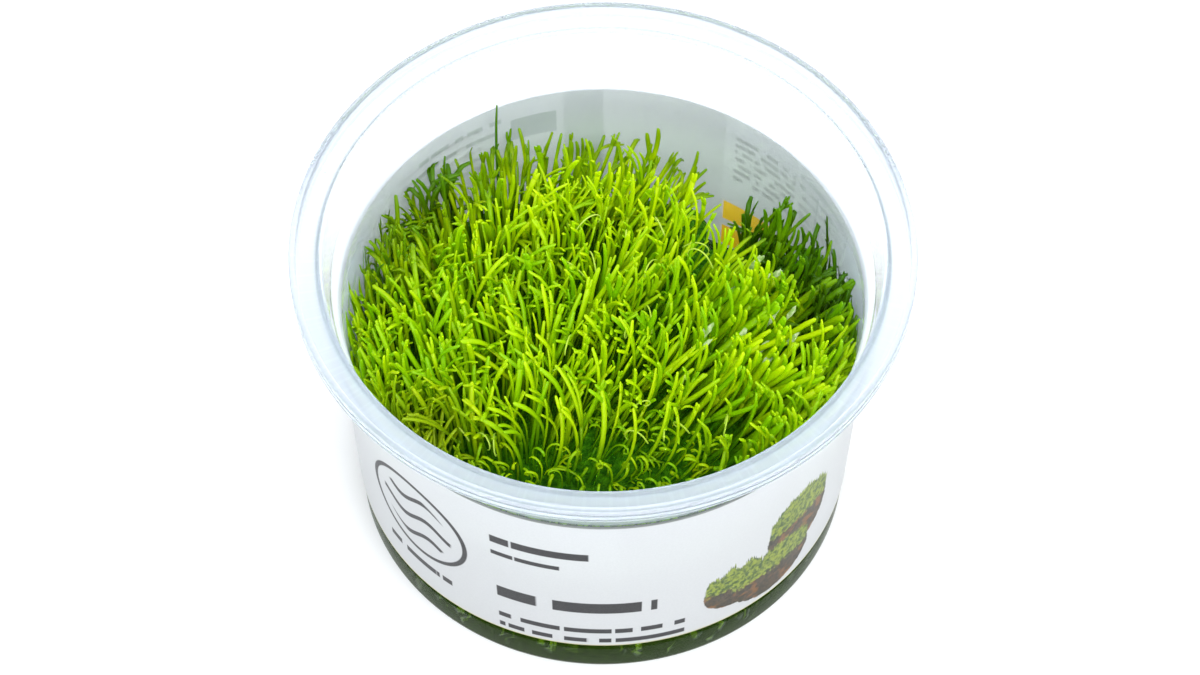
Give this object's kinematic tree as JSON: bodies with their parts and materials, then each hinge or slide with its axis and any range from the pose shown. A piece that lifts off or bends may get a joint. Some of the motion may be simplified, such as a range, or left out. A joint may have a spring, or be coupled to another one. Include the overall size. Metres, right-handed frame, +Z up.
{
  "type": "tissue culture crystalwort in its cup",
  "caption": "Round cushion of forked green crystalwort fronds on nutrient gel, in a clear flanged growing cup with a wrap-round printed sleeve.",
  "frame": {"origin": "on the cup's axis, at the bottom of the foot ring that it stands on", "axes": "+Z up along the cup's axis, the front of the sleeve faces -Y, +X is to the right seen from the front"},
  "size_m": [0.1, 0.1, 0.062],
  "materials": {
    "clear_plastic": "clear moulded polypropylene, glossy",
    "printed_film": "white printed film, satin",
    "nutrient_gel": "clear greenish gel, wet",
    "frond_green": "fresh yellow-green plant tissue, slightly wet",
    "frond_dark_green": "deep green plant tissue, slightly wet"
  },
  "bodies": {
    "root": {"cup": "clear_plastic", "label": "printed_film", "gel": "nutrient_gel", "cushion": "frond_green", "long_frond": "frond_green", "tuft_rear_right": "frond_dark_green", "tuft_right": "frond_dark_green", "tuft_rear_left": "frond_dark_green", "tuft_left": "frond_dark_green"}
  },
  "joints": []
}
